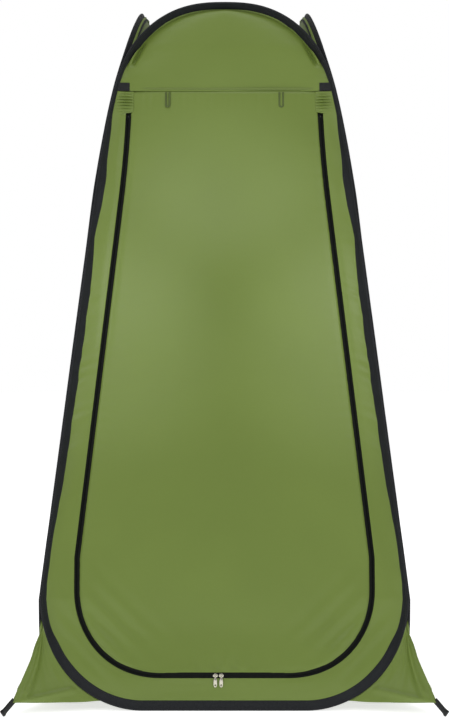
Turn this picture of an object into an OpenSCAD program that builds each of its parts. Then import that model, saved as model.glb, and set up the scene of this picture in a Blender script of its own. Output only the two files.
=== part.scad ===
// Pop-up privacy shower tent: four fabric walls, each edged by a closed sprung hoop in a
// binding sleeve, a roof, four corner gussets with stake loops, and a U-shaped zip door.
// The front wall faces -Y, the ground is Z = 0 and the origin is the centre of the floor area.

/* [Tent] */
// Half of the width of the tent, and of its depth, at the foot of the straight sides
foot_half = 498.6; // [480:1:520]
// Height of the hoops' tops
top_z = 1957; // [1900:1:1990]
// Height at which the bottom corner curve of a hoop ends
foot_z = 300; // [280:1:320]
// Height of the seam across the front wall, where the straight sides end
seam_z = 1700; // [1680:1:1715]
// Inward lean of the sides, in mm for each mm of height
lean = 0.1246; // [0.12:0.001:0.13]

/* [Hoops] */
// Width of the binding sleeve, folded over the edge of a wall
band_w = 28; // [26:1:32]
// Thickness of the folded sleeve
band_t = 5.2; // [5:0.1:6]
// Diameter of the sprung steel wire
wire_d = 2.6; // [2:0.1:2.8]

/* [Door] */
// Half width of the door's zip at its widest
zip_half = 400; // [385:1:405]
// Height of the zip's bottom stretch
zip_bottom = 95; // [85:1:110]
// Height of the zip's top ends
zip_top = 1634; // [1600:1:1640]
// Width of the closed zip's two tapes together
zip_w = 14; // [12:1:16]

/* [Details] */
// Thickness that a sheet of fabric is drawn with
sheet_t = 1; // [0.8:0.1:1.2]
// Width of the stake loops' webbing
webbing_w = 14; // [12:1:20]
// Radius of the eye for the stake in a stake loop
eye_r = 4.5; // [4:0.1:5]

/* [Hidden] */

fabric = "olivedrab";
black = "#2c3136";
steel = "silver";

// The sides bend further inward above this height
bend_z = 1400;
bend = 0.000163;
// The bottom corner curve is a quarter ellipse, and the arch on top a quarter superellipse
corner_a = 280;
arch_power = 2.6;
// Heights between which the sleeves turn from flat to the 45 degrees of the corner fins
fin_low = [60, 240];
fin_high = [seam_z, seam_z + 130];
fin_angle = 45;
// Distance of a fin's middle plane from the corner's diagonal plane
fin_gap = band_t / 2 + 0.4;
// How far the edge of a wall stays from the outer edge of its sleeve
edge_in = 7;
// Wall thickness of the sleeve
tape_t = 0.8;
// Gap between the wire and the fold of the sleeve
wire_in = 0.6;
// Steps along each third of half a hoop
steps = 8;
// Gap between neighbouring sheets
gap = 0.3;

zip_corner_x = 170;
zip_corner_z = 330;
// How square the zip's lower corners are: 2 is an ellipse
zip_corner_power = 2.15;
zip_lean = 0.115;
zip_flare = 0.00015;
zip_flare_z = 1388;
// Share of the zip's path at which its teeth end, below the seam
zip_end = 1.95;
coil_gap = 0.8;
coil_w = 1.2;
coil_t = 2;
slider_x = [-24.9, -8.9];
slider_l = 14;
slider_h = 11;
plate_t = 1.4;
plate_y = 1.7;
lug_x = 2.9;
pin_r = 0.9;
lug = [1, 3.6, 3];
// How far a slider's pins and lugs stand off its plates, and above its middle
pin_out = 2.3;
lug_out = 1.6;
pin_up = 1;
// The post between a slider's plates
post = [2.4, 1];
pull_w = 10;
pull_l = 32;
pull_t = 1.4;
// A pull's tab hangs this far in front of its pin, and starts this far below it
pull_out = 1.2;
neck_l = 4;
pull_hole_r = 2;
running_fit = 0.08;
stop_size = [3, 3.2, 5];
// How far below the zip's top its stops are
stop_drop = 9;
ferrule_x = 60;
ferrule_l = 30;
ferrule_t = 0.3;

function smooth(t) = t <= 0 ? 0 : t >= 1 ? 1 : t * t * (3 - 2 * t);
function unit(v) = v / norm(v);
function flip(points) = [for (p = points) [-p[0], p[1], p[2]]];

// Half width and half depth of the tent at a height
function half(z) = foot_half - lean * max(0, z - foot_z) - bend * pow(max(0, z - bend_z), 2);
// How far the sleeves have turned into a corner fin at a height, from 0 to 1
function fin(z) = smooth((z - fin_low[0]) / (fin_low[1] - fin_low[0]))
    * (1 - smooth((z - fin_high[0]) / (fin_high[1] - fin_high[0])));
function turn(z) = fin_angle * fin(z);
function shift(z) = fin_gap / sqrt(2) * fin(z);
// The front wall's middle surface
function wall_y(z) = -half(z) - shift(z) + band_w * sin(turn(z));
function on_wall(p, out = 0) = [p[0], wall_y(p[1]) - out, p[1]];

// Right half of a hoop's outline, from the bottom at 0 to the top at 3
function outline(s) = s <= 1
    ? [foot_half - corner_a + corner_a * sin(90 * s), foot_z * (1 - cos(90 * s))]
    : s <= 2
    ? let (z = foot_z + (seam_z - foot_z) * (s - 1)) [half(z), z]
    : let (a = min(90, 90 * pow(s - 2, 1.5)), z = seam_z + (top_z - seam_z) * pow(sin(a), 2 / arch_power))
        [half(z) * pow(cos(a), 2 / arch_power), z];
function outward(s) = let (d = unit(outline(min(3, s + 0.01)) - outline(max(0, s - 0.01))))
    [d[1], -d[0]];
// Outer edge and root of the sleeve, and the edge of the wall inside it
function tip(s) = let (o = outline(s)) [o[0] - shift(o[1]), -half(o[1]) - shift(o[1]), o[1]];
function root(s) = let (t = tip(s), n = outward(s) * band_w * cos(turn(t[2])))
    on_wall([t[0] - n[0], t[2] - n[1]]);
function edge(s) = tip(s) + (root(s) - tip(s)) * edge_in / band_w;
function side_of_fin(s) = unit(cross(tip(min(3, s + 0.01)) - tip(max(0, s - 0.01)),
    tip(s) - root(s)));
// A point of the sleeve's section: u from its root, v across it
function in_sleeve(s, p) = root(s) + unit(tip(s) - root(s)) * p[0] + side_of_fin(s) * p[1];
function hoop_ring(s, section) = [for (p = section) in_sleeve(s, p)];
function hoop_rings(section) = concat(
    [for (k = [0:3 * steps]) hoop_ring(k / steps, section)],
    [for (k = [3 * steps - 1:-1:0]) flip(hoop_ring(k / steps, section))]);

// One solid along a list of rings with the same number of points
module sweep(rings, closed = false) {
    n = len(rings);
    m = len(rings[0]);
    last = closed ? n - 1 : n - 2;
    // The two faces of a sheet are cut along the same diagonals, so that they never cross
    sides = [for (i = [0:last], j = [0:m - 1])
        let (a = i * m + j, b = i * m + (j + 1) % m,
            c = (i + 1) % n * m + j, d = (i + 1) % n * m + (j + 1) % m)
        each j < m / 2 ? [[a, c, d], [a, d, b]] : [[a, c, b], [b, c, d]]];
    ends = closed ? [] : [for (j = [0:m / 2 - 2], i = [0, n - 1])
        let (f = [i * m + j, i * m + j + 1, i * m + m - 2 - j, i * m + m - 1 - j])
        i == 0 ? f : [f[3], f[2], f[1], f[0]]];
    quads = [for (f = ends) each [[f[0], f[1], f[2]], [f[0], f[2], f[3]]]];
    polyhedron([for (r = rings) each r], concat(sides, quads), convexity = 10);
}

// A row of a sheet, given its middle points and the directions of its outer face
function sheet_row(points, faces, t = sheet_t) = concat(
    [for (i = [0:len(points) - 1]) points[i] + faces[i] * t / 2],
    [for (i = [len(points) - 1:-1:0]) points[i] - faces[i] * t / 2]);
function edge_face(s) = let (a = turn(tip(s)[2])) [-sin(a), -cos(a), 0];
FRONT = [0, -1, 0];

// Where the wall leaves the fin, level with its edge inside the sleeve
function fold_line(s) = let (e = edge(s))
    on_wall([e[0] - (band_w - edge_in) * cos(turn(tip(s)[2])), e[2]]);
function mirrored(p) = [-p[0], p[1], p[2]];
function wall_row(s) = sheet_row(
    [mirrored(edge(s)), mirrored(fold_line(s)), fold_line(s), edge(s)],
    [mirrored(edge_face(s)), FRONT, FRONT, edge_face(s)]);

// Right half of the zip's middle line, from the bottom at 0 to its top end, and its normal
function zip_line(s) = s <= 1
    ? [zip_corner_x + (zip_half - zip_corner_x) * pow(sin(90 * s), 2 / zip_corner_power),
        zip_corner_z - (zip_corner_z - zip_bottom) * pow(cos(90 * s), 2 / zip_corner_power)]
    : let (z = zip_corner_z + (zip_top - zip_corner_z) * (s - 1) / (zip_end - 1))
        [zip_half - zip_lean * max(0, z - zip_corner_z - 80)
            + zip_flare * pow(max(0, z - zip_flare_z), 2), z];
function zip_out(s) = let (d = unit(zip_line(min(zip_end, s + 0.01)) - zip_line(max(0, s - 0.01))))
    [d[1], -d[0]];
function beside_zip(s, offset) = zip_line(min(s, zip_end)) + zip_out(min(s, zip_end)) * offset;
zip_steps = [for (k = [0:15]) k / 8, zip_end];
// Where the lower front wall ends, just below the seam
seam_s = 1.999;

module on_side(k) rotate([0, 0, 90 * k]) children();

module hoop_wire() {
    ring_r = wire_d / 2;
    middle = band_w - tape_t - ring_r - wire_in;
    color(steel) sweep(hoop_rings([for (a = [0:60:300])
        [middle + ring_r * cos(a), ring_r * sin(a)]]), closed = true);
}

module binding() {
    o = band_t / 2;
    i = band_t / 2 - tape_t;
    color(black) sweep(hoop_rings([[0, -o], [band_w, -o], [band_w, o], [0, o],
        [0, i], [band_w - tape_t, i], [band_w - tape_t, -i], [0, -i]]), closed = true);
}

// A crimped tube that joins the two ends of the hoop's wire, at the middle of the bottom
module ferrule() {
    inner_r = wire_d / 2 + 0.05;
    color(steel) translate([ferrule_x, tip(0)[1], tape_t + wire_in + wire_d / 2]) rotate([0, 90, 0])
        difference() {
            cylinder(r = inner_r + ferrule_t, h = ferrule_l, center = true, $fn = 32);
            cylinder(r = inner_r, h = ferrule_l + 1, center = true, $fn = 32);
        }
}

module wall() {
    color(fabric) sweep([for (k = [0:3 * steps - 1]) wall_row(k / steps)]);
}

module front_dome() {
    color(fabric) sweep([for (k = [2 * steps:3 * steps - 1]) wall_row(k / steps)]);
}

function surround_row(s) = let (z = s <= zip_end ? beside_zip(s, zip_w / 2 + gap)
        : [beside_zip(zip_end, -zip_w / 2 + gap)[0], edge(s)[2]])
    sheet_row([on_wall(z), root(s), edge(s)], [FRONT, FRONT, edge_face(s)]);

module front_surround() {
    rows = [for (s = concat(zip_steps, [zip_end + 0.01, seam_s])) surround_row(s)];
    left = [for (k = [len(rows) - 1:-1:0]) flip(rows[k])];
    color(fabric) sweep(concat(left, rows));
}

function door_row(x, z) = sheet_row([on_wall([-x, z]), on_wall([x, z])], [FRONT, FRONT]);
door_top = edge(seam_s)[2];

module door() {
    rows = [for (s = zip_steps) let (p = beside_zip(s, -zip_w / 2 - gap)) door_row(p[0], p[1])];
    top = [for (z = [zip_top + 30, door_top]) door_row(beside_zip(zip_end, -zip_w / 2 - gap)[0], z)];
    color(fabric) sweep(concat(rows, top));
}

// A strip along the whole zip, between two offsets from its middle line
module zip_strip(inner, outer, t, end = zip_end) {
    rows = [for (k = zip_steps) let (s = min(k, end)) sheet_row(
        [on_wall(beside_zip(s, inner)), on_wall(beside_zip(s, outer))], [FRONT, FRONT], t)];
    left = [for (k = [len(rows) - 1:-1:0]) flip(rows[k])];
    sweep(concat(left, rows));
}

// The teeth end a little below the ends of the tapes, at the stops
coil_end = zip_end - 0.012;
coil_out = coil_gap + coil_w;
module zip_tape_frame() color(black) zip_strip(coil_out + 0.2, zip_w / 2, sheet_t);
module zip_tape_door() color(black) zip_strip(-zip_w / 2, -coil_out - 0.2, sheet_t);
module zip_coil_frame() color(black) zip_strip(coil_gap, coil_out, coil_t, coil_end);
module zip_coil_door() color(black) zip_strip(-coil_out, -coil_gap, coil_t, coil_end);

module zip_stop(side) {
    z = zip_top - stop_drop;
    color(steel) translate([side * zip_line(zip_end)[0], wall_y(z), z]) cube(stop_size, center = true);
}

// A slider: two plates joined between the zip's teeth, with a pin for a pull on each face
module slider(x) {
    face_y = plate_y + plate_t;
    color(steel) translate([x, wall_y(zip_bottom), zip_bottom]) {
        cube([post[0], 2 * plate_y + 0.2, post[1]], center = true);
        for (face = [-1, 1]) {
            translate([0, face * (plate_y + plate_t / 2), 0])
                cube([slider_l, plate_t, slider_h], center = true);
            for (side = [-1, 1])
                translate([side * lug_x, face * (face_y + lug_out), pin_up]) cube(lug, center = true);
            translate([0, face * (face_y + pin_out), pin_up]) rotate([0, 90, 0])
                cylinder(r = pin_r, h = 2 * lug_x, center = true, $fn = 32);
        }
    }
}

// A pull hangs by its eye from a slider's pin
module pull(x, face) {
    eye_w = 2 * lug_x - 1.6;
    end_z = -neck_l - pull_l + pull_w - 1;
    color(steel) translate([x, wall_y(zip_bottom) + face * (plate_y + plate_t + pin_out),
            zip_bottom + pin_up])
        difference() {
            union() {
                rotate([0, 90, 0]) cylinder(r = pin_r + 1, h = eye_w, center = true, $fn = 32);
                translate([-eye_w / 2, face * pull_out - pull_t / 2, -neck_l - 1])
                    cube([eye_w, pull_t, neck_l + 1]);
                translate([-pull_w / 2, face * pull_out - pull_t / 2, end_z])
                    cube([pull_w, pull_t, -neck_l - end_z]);
                translate([0, face * pull_out, end_z]) rotate([90, 0, 0])
                    cylinder(r = pull_w / 2, h = pull_t, center = true, $fn = 48);
            }
            rotate([0, 90, 0]) cylinder(r = pin_r + running_fit, h = pull_w, center = true, $fn = 32);
            translate([0, face * pull_out, end_z + 1]) rotate([90, 0, 0])
                cylinder(r = pull_hole_r, h = 2 * pull_t, center = true, $fn = 32);
        }
}

// Roof: a taut sheet between the four arches, dipping to the corners and a little in the middle
roof_n = 10;
roof_dip = 30;
// Where the roof's corners start on the arches, once the corner fins have parted
roof_s = 2.25;
function arch_at(t) = let (s = 3 - (3 - roof_s) * abs(2 * t - 1),
        p = in_sleeve(s, [band_w * 0.45, band_t / 2 + 2.8]))
    [(t < 0.5 ? -1 : 1) * p[0], p[1], p[2]];
function spin(p, k) = k == 0 ? p : k == 1 ? [-p[1], p[0], p[2]]
    : k == 2 ? [-p[0], -p[1], p[2]] : [p[1], -p[0], p[2]];
function roof_point(u, v) = let (front = arch_at(u), back = spin(arch_at(1 - u), 2),
        right = spin(arch_at(v), 1), left = spin(arch_at(1 - v), 3),
        wu = u * (1 - u), wv = v * (1 - v), total = wu + wv,
        a = front * (1 - v) + back * v, b = left * (1 - u) + right * u)
    (total == 0 ? a : (a * wu + b * wv) / total) - [0, 0, roof_dip * 16 * wu * wv];
module roof() {
    grid = [for (j = [0:roof_n]) let (v = 0.5 - 0.5 * cos(180 * j / roof_n))
        [for (i = [0:roof_n]) roof_point(0.5 - 0.5 * cos(180 * i / roof_n), v)]];
    color(fabric) sweep([for (row = grid) sheet_row(row, [for (p = row) [0, 0, 1]])]);
}

// Gusset between two hoops' bottom corner curves, for the front right corner
gusset_s = [0.27, 0.78];
gusset_rows = 6;
gusset_top = [500, -500, 212];
gusset_tip = [566, -566, 34];
// Gap between a gusset and the sleeves beside it
gusset_gap = 1.4;
// The direction that the gusset's front half faces
gusset_face = [0.3, -1, 0];
function across(p) = [-p[1], -p[0], p[2]];
module gusset() {
    rows = [for (k = [0:gusset_rows]) let (t = k / gusset_rows,
            s = gusset_s[1] + (gusset_s[0] - gusset_s[1]) * t,
            p = in_sleeve(s, [band_w + gusset_gap, 0]), ridge = gusset_top + (gusset_tip - gusset_top) * t)
        sheet_row([across(p), ridge, p],
            [unit(across(gusset_face)), unit([1, -1, 0]), unit(gusset_face)])];
    color(fabric) sweep(rows);
}

// Stake loop of folded webbing, for the front right corner, with an eye for a peg
loop_l = 40;
loop_t = 3.2;
loop_drop = 38;
eye_t = 1.6;
loop_gap = [gusset_gap, -gusset_gap, -1];
module stake_loop() {
    eye_x = loop_l - eye_r - eye_t;
    strap_l = eye_x - eye_r - 0.4;
    color(black) translate(gusset_tip + loop_gap) rotate([0, 0, -45]) rotate([0, loop_drop, 0])
        difference() {
            union() {
                translate([eye_x, 0, 0]) cylinder(r = eye_r + eye_t, h = webbing_w, center = true, $fn = 64);
                translate([0, -loop_t / 2, -webbing_w / 2]) cube([strap_l, loop_t, webbing_w]);
            }
            translate([eye_x, 0, 0]) cylinder(r = eye_r, h = webbing_w + 1, center = true, $fn = 64);
        }
}

// A short piece of webbing sewn over each end of the seam
tab_x = 275;
tab_half = 12;
tab_z = [seam_z + 1.5, seam_z + 24];
tab_out = 2.2;
tab_t = 1.2;
module corner_tab(side) {
    rows = [for (z = tab_z) sheet_row(
        [for (end = [-1, 1]) on_wall([side * tab_x + end * tab_half, z], tab_out)], [FRONT, FRONT], tab_t)];
    color(black) sweep(rows);
}

// A narrow tape sewn down at its two ends as a loop, for tying up the rolled door
tie_x = 159;
tie_w = 14;
tie_l = 46;
tie_t = 2.4;
tie_slot = 5.2;
// The loops hang from this far below the seam, this far in front of the door
tie_drop = 5;
tie_out = 3;
// The slope of the wall at the seam
tie_slope = 0.22;
module tie_loop(side) {
    end_y = -tie_l + tie_w / 2;
    color(fabric) translate([side * tie_x, wall_y(seam_z) - tie_out, seam_z - tie_drop])
        rotate([90 - atan(tie_slope), 0, 0]) linear_extrude(height = tie_t, center = true)
            difference() {
                union() {
                    translate([-tie_w / 2, end_y]) square([tie_w, -end_y]);
                    translate([0, end_y]) circle(d = tie_w, $fn = 48);
                }
                translate([-tie_slot / 2, end_y]) square([tie_slot, -end_y - 4]);
                translate([0, end_y]) circle(d = tie_slot, $fn = 32);
            }
}

on_side(0) hoop_wire();  // front_hoop
on_side(1) hoop_wire();  // right_hoop
on_side(2) hoop_wire();  // back_hoop
on_side(3) hoop_wire();  // left_hoop
on_side(0) ferrule();  // front_ferrule
on_side(1) ferrule();  // right_ferrule
on_side(2) ferrule();  // back_ferrule
on_side(3) ferrule();  // left_ferrule
on_side(0) binding();  // front_binding
on_side(1) binding();  // right_binding
on_side(2) binding();  // back_binding
on_side(3) binding();  // left_binding
front_surround();
front_dome();
door();
on_side(1) wall();  // right_panel
on_side(2) wall();  // back_panel
on_side(3) wall();  // left_panel
roof();
on_side(0) gusset();  // gusset_front_right
on_side(1) gusset();  // gusset_back_right
on_side(2) gusset();  // gusset_back_left
on_side(3) gusset();  // gusset_front_left
on_side(0) stake_loop();  // stake_loop_front_right
on_side(1) stake_loop();  // stake_loop_back_right
on_side(2) stake_loop();  // stake_loop_back_left
on_side(3) stake_loop();  // stake_loop_front_left
corner_tab(-1);  // corner_tab_left
corner_tab(1);  // corner_tab_right
zip_tape_frame();
zip_tape_door();
zip_coil_frame();
zip_coil_door();
zip_stop(-1);  // zip_stop_left
zip_stop(1);  // zip_stop_right
slider(slider_x[0]);  // slider_left
slider(slider_x[1]);  // slider_right
pull(slider_x[0], -1);  // pull_left_outer
pull(slider_x[1], -1);  // pull_right_outer
pull(slider_x[0], 1);  // pull_left_inner
pull(slider_x[1], 1);  // pull_right_inner
tie_loop(-1);  // tie_loop_left
tie_loop(1);  // tie_loop_right
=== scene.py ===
"""Looks of a pop-up privacy shower tent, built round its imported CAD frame. Units are metres.

The front wall faces -Y. Each wall is edged by a closed sprung hoop in a binding sleeve; the four
walls follow one rule, turned by quarter turns about Z, and part.scad holds the same rule in mm.
"""

import math

import bpy
import numpy as np
from mathutils import Matrix, Vector


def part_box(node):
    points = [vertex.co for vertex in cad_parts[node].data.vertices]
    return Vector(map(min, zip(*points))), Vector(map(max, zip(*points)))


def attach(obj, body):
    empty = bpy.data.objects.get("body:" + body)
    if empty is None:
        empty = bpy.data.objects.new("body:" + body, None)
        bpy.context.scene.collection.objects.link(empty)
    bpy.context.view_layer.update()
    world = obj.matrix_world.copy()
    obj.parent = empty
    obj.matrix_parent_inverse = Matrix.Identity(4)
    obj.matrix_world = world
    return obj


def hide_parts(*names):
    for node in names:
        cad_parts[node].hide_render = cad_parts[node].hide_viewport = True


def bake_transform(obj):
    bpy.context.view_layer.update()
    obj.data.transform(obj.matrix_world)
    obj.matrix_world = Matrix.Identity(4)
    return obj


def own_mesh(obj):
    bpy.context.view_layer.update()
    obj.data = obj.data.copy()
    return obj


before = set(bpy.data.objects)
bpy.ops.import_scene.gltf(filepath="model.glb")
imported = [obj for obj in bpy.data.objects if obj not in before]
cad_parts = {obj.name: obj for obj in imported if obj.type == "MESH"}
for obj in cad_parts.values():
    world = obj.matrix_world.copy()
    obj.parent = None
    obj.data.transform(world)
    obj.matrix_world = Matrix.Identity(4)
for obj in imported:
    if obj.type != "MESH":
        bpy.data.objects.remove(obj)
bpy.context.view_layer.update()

# -------- camera, light, floor

CAMERA_AT = (0.0, -5.63, 1.0)
LENS = 95.15
SHIFT_Y = -0.0278
SENSOR = 36

scene = bpy.context.scene
camera = bpy.data.objects.new("camera", bpy.data.cameras.new("camera"))
camera.data.lens = LENS
camera.data.sensor_width = SENSOR
camera.data.shift_y = SHIFT_Y
camera.location = CAMERA_AT
camera.rotation_euler = (math.pi / 2, 0, 0)
scene.collection.objects.link(camera)
scene.camera = camera
scene.view_settings.view_transform = "Standard"

world = bpy.data.worlds.new("studio")
world.use_nodes = True
studio = world.node_tree
backdrop = studio.nodes["Background"]
backdrop.inputs["Color"].default_value = (1, 1, 1, 1)
backdrop.inputs["Strength"].default_value = 1.0
dome_light = studio.nodes.new("ShaderNodeBackground")
dome_light.inputs["Strength"].default_value = 0.42
seen = studio.nodes.new("ShaderNodeLightPath")
either = studio.nodes.new("ShaderNodeMixShader")
studio.links.new(seen.outputs["Is Camera Ray"], either.inputs[0])
studio.links.new(dome_light.outputs[0], either.inputs[1])
studio.links.new(backdrop.outputs[0], either.inputs[2])
studio.links.new(either.outputs[0], studio.nodes["World Output"].inputs[0])
scene.world = world


def hang(name, lamp, place, aim):
    thing = bpy.data.objects.new(name, lamp)
    thing.location = place
    thing.rotation_euler = (Vector(aim) - Vector(place)).to_track_quat("-Z", "Y").to_euler()
    scene.collection.objects.link(thing)


def softbox(name, place, aim, size, power):
    lamp = bpy.data.lights.new(name, "AREA")
    lamp.shape = "RECTANGLE"
    lamp.size = lamp.size_y = size
    lamp.energy = power
    hang(name, lamp, place, aim)


def spot(name, place, aim, cone, power):
    """A soft round pool of light that fades from its middle."""
    lamp = bpy.data.lights.new(name, "SPOT")
    lamp.spot_size, lamp.spot_blend = math.radians(cone), 1.0
    lamp.shadow_soft_size = 0.06
    lamp.energy = power
    hang(name, lamp, place, aim)


softbox("key", (-2.4, -5.2, 3.4), (0, 0, 1.0), 2.6, 55)
softbox("fill", (2.6, -5.2, 3.0), (0, 0, 1.0), 2.6, 41)
softbox("top", (0, -1.4, 5.6), (0, -0.3, 1.0), 3.0, 60)
softbox("back_left", (-3.6, 4.6, 1.3), (0, 0, 0.9), 2.0, 60)
softbox("back_right", (3.6, 4.6, 1.3), (0, 0, 0.9), 2.0, 60)
for side in (-1, 1):
    spot("pool_high", (side * 1.2, -5.4, 2.6), (side * 0.32, -0.4, 1.27), 8.0, 88)
    spot("pool_low", (side * 1.2, -5.4, 2.6), (side * 0.32, -0.4, 0.98), 8.0, 145)
spot("pool_top", (0, -5.4, 3.0), (0, -0.35, 1.47), 6.6, 115)

# -------- the tent's measures

FOOT_HALF = 0.4986
TOP_Z = 1.957
FOOT_Z = 0.3
FOOT_REACH = 0.17
SEAM_Z = 1.7
LEAN = 0.1246
BEND_Z = 1.4
BEND = 0.163
CORNER_A = 0.28
ARCH_POWER = 2.6
BAND_W = 0.028
BAND_T = 0.0052
FIN_LOW = (0.06, 0.24)
FIN_HIGH = (SEAM_Z, SEAM_Z + 0.13)
FIN_GAP = BAND_T / 2 + 0.0004
ARCH_TURN = math.radians(58)

ZIP_HALF = 0.4
ZIP_BOTTOM = 0.095
ZIP_TOP = 1.634
ZIP_END = 1.95
ZIP_CORNER = (0.17, 0.33)
ZIP_CORNER_POWER = 2.15
ZIP_LEAN = 0.115
ZIP_FLARE = 0.15
ZIP_FLARE_Z = 1.388
ZIP_EDGE = 0.0082
TAPE_HALF = 0.008
COIL_LAP = 0.0015

CLOTH_T = 0.0009
SIDES = {"front": 0, "right": 1, "back": 2, "left": 3}


def smooth(t):
    t = np.clip(t, 0, 1)
    return t * t * (3 - 2 * t)


def bump(x, middle, reach):
    """1 at the middle, 0 beyond reach, smooth between."""
    return smooth(1 - np.abs(x - middle) / reach)


def unit(v):
    return v / np.maximum(np.linalg.norm(v, axis=-1, keepdims=True), 1e-12)


def half(z):
    return FOOT_HALF - LEAN * np.maximum(0, z - FOOT_Z) - BEND * np.maximum(0, z - BEND_Z) ** 2


def fin(z):
    return smooth((z - FIN_LOW[0]) / (FIN_LOW[1] - FIN_LOW[0])) * (
        1 - smooth((z - FIN_HIGH[0]) / (FIN_HIGH[1] - FIN_HIGH[0]))
    )


def turn(z):
    return math.pi / 4 * fin(z)


def shift(z):
    return FIN_GAP / math.sqrt(2) * fin(z)


def wall_y(z):
    return -half(z) - shift(z) + BAND_W * np.sin(turn(z))


def foot_bend(z):
    """How far taut cloth cuts the corner inside the bend at the walls' foot."""
    off = np.abs(z - FOOT_Z)
    return LEAN * np.where(off < FOOT_REACH, (FOOT_REACH - off) ** 2 / (4 * FOOT_REACH), 0)


def xyz(x, y, z):
    return np.stack(np.broadcast_arrays(x, y, z), -1).astype(float)


def on_wall(x, z, out=0.0):
    """A point of the front wall, standing out from its middle surface."""
    return xyz(x, wall_y(z) - out, z)


def outline(s):
    """x and z on a hoop's right half: 0 is the bottom, 1 the end of the corner, 2 the seam, 3 the top."""
    s = np.asarray(s, float)
    corner = math.pi / 2 * np.clip(s, 0, 1)
    arch = math.pi / 2 * np.clip(s - 2, 0, 1) ** 1.5
    z_arch = SEAM_Z + (TOP_Z - SEAM_Z) * np.sin(arch) ** (2 / ARCH_POWER)
    z = np.where(s <= 2, FOOT_Z + (SEAM_Z - FOOT_Z) * (s - 1), z_arch)
    z = np.where(s <= 1, FOOT_Z * (1 - np.cos(corner)), z)
    x = half(z) * np.maximum(np.cos(arch), 0) ** (2 / ARCH_POWER)
    x = np.where(s <= 1, FOOT_HALF - CORNER_A + CORNER_A * np.sin(corner), x)
    return x, z


def tip(s):
    x, z = outline(s)
    return xyz(x - shift(z), -half(z) - shift(z), z)


def root(s):
    (x0, z0), (x1, z1) = outline(np.maximum(s - 0.01, 0)), outline(np.minimum(s + 0.01, 3))
    d = unit(np.stack([x1 - x0, z1 - z0], -1))
    t = tip(s)
    reach = BAND_W * np.cos(turn(t[..., 2]))
    return on_wall(t[..., 0] - d[..., 1] * reach, t[..., 2] + d[..., 0] * reach)


def mirror(p, side):
    """p on the right half, or its mirror image where side is -1."""
    q = p.copy()
    q[..., 0] *= side
    return q


def spin(p, k):
    """Turned by k quarter turns about Z, from the front wall to the right, back or left one."""
    x, y, z = p[..., 0], p[..., 1], p[..., 2]
    return [p, xyz(-y, x, z), xyz(-x, -y, z), xyz(y, -x, z)][k]


def loosen(z):
    """How far the sleeve untwists from the corner fin, in radians, as the real binding does. The arches stay
    turned a little over the roof."""
    loose = math.radians(24) * bump(z, 1.39, 0.13) + math.radians(9) * bump(z, 1.02, 0.34)
    return loose - ARCH_TURN * smooth((z - FIN_HIGH[0]) / (FIN_HIGH[1] - FIN_HIGH[0]))


def sleeve_frame(s):
    """Tip, direction from tip to root, and direction across the sleeve, untwisting included."""
    s = np.asarray(s, float)
    t, r = tip(s), root(s)
    along = unit(tip(np.minimum(s + 0.01, 3)) - tip(np.maximum(s - 0.01, 0)))
    inward = unit(r - t)
    across = unit(np.cross(along, -inward))
    a = loosen(t[..., 2])[..., None]
    inward = inward * np.cos(a) - across * np.sin(a)
    return t, unit(inward), unit(np.cross(along, -inward))


def in_sleeve(s, u, v=0.0):
    """A point of the sleeve's section: u from its root, v across it."""
    t, inward, across = sleeve_frame(s)
    u, v = np.asarray(u, float), np.asarray(v, float)
    return t + inward * (BAND_W - u)[..., None] + across * v[..., None]


def zip_line(s):
    """x and z on the right half of the zip's middle line, from the bottom at 0 to its top at ZIP_END."""
    s = np.asarray(s, float)
    corner = math.pi / 2 * np.clip(s, 0, 1)
    z = ZIP_CORNER[1] + (ZIP_TOP - ZIP_CORNER[1]) * (s - 1) / (ZIP_END - 1)
    x = ZIP_HALF - ZIP_LEAN * np.maximum(0, z - ZIP_CORNER[1] - 0.08)
    x = x + ZIP_FLARE * np.maximum(0, z - ZIP_FLARE_Z) ** 2
    sine, cosine = (np.maximum(f(corner), 0) ** (2 / ZIP_CORNER_POWER) for f in (np.sin, np.cos))
    x = np.where(s <= 1, ZIP_CORNER[0] + (ZIP_HALF - ZIP_CORNER[0]) * sine, x)
    z = np.where(s <= 1, ZIP_CORNER[1] - (ZIP_CORNER[1] - ZIP_BOTTOM) * cosine, z)
    return x, z


def beside_zip(s, offset):
    """x and z at an offset from the zip's middle line, outward where it is above 0."""
    s = np.clip(s, 0, ZIP_END)
    (x0, z0), (x1, z1) = zip_line(np.maximum(s - 0.01, 0)), zip_line(np.minimum(s + 0.01, ZIP_END))
    d = unit(np.stack([x1 - x0, z1 - z0], -1))
    x, z = zip_line(s)
    return x + d[..., 1] * offset, z - d[..., 0] * offset


# -------- folds and puckers

def waves(a, wave, seed):
    """A gentle repeatable wobble along a."""
    rng = np.random.default_rng(seed)
    total = 0
    for _ in range(4):
        total = total + np.sin(a * 2 * math.pi / (wave * rng.uniform(0.6, 1.5)) + rng.uniform(0, 6.3))
    return total / 2.6


def undulate(x, z, wave, seed):
    """A soft unevenness over a sheet, mostly in long upright swells."""
    rng = np.random.default_rng(seed)
    total = 0
    for _ in range(6):
        lean_x, lean_z = rng.uniform(0.6, 1.4), rng.uniform(-0.45, 0.45)
        total = total + np.sin((x * lean_x + z * lean_z) * 2 * math.pi / wave + rng.uniform(0, 6.3))
    return total / 3.2


def puckers(along, away, height, wave, reach, seed):
    """Small puckers along a sewn edge, which fade with the distance from it."""
    return height * waves(along, wave, seed) * np.exp(-np.maximum(away, 0) / reach)


# -------- meshes

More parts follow.
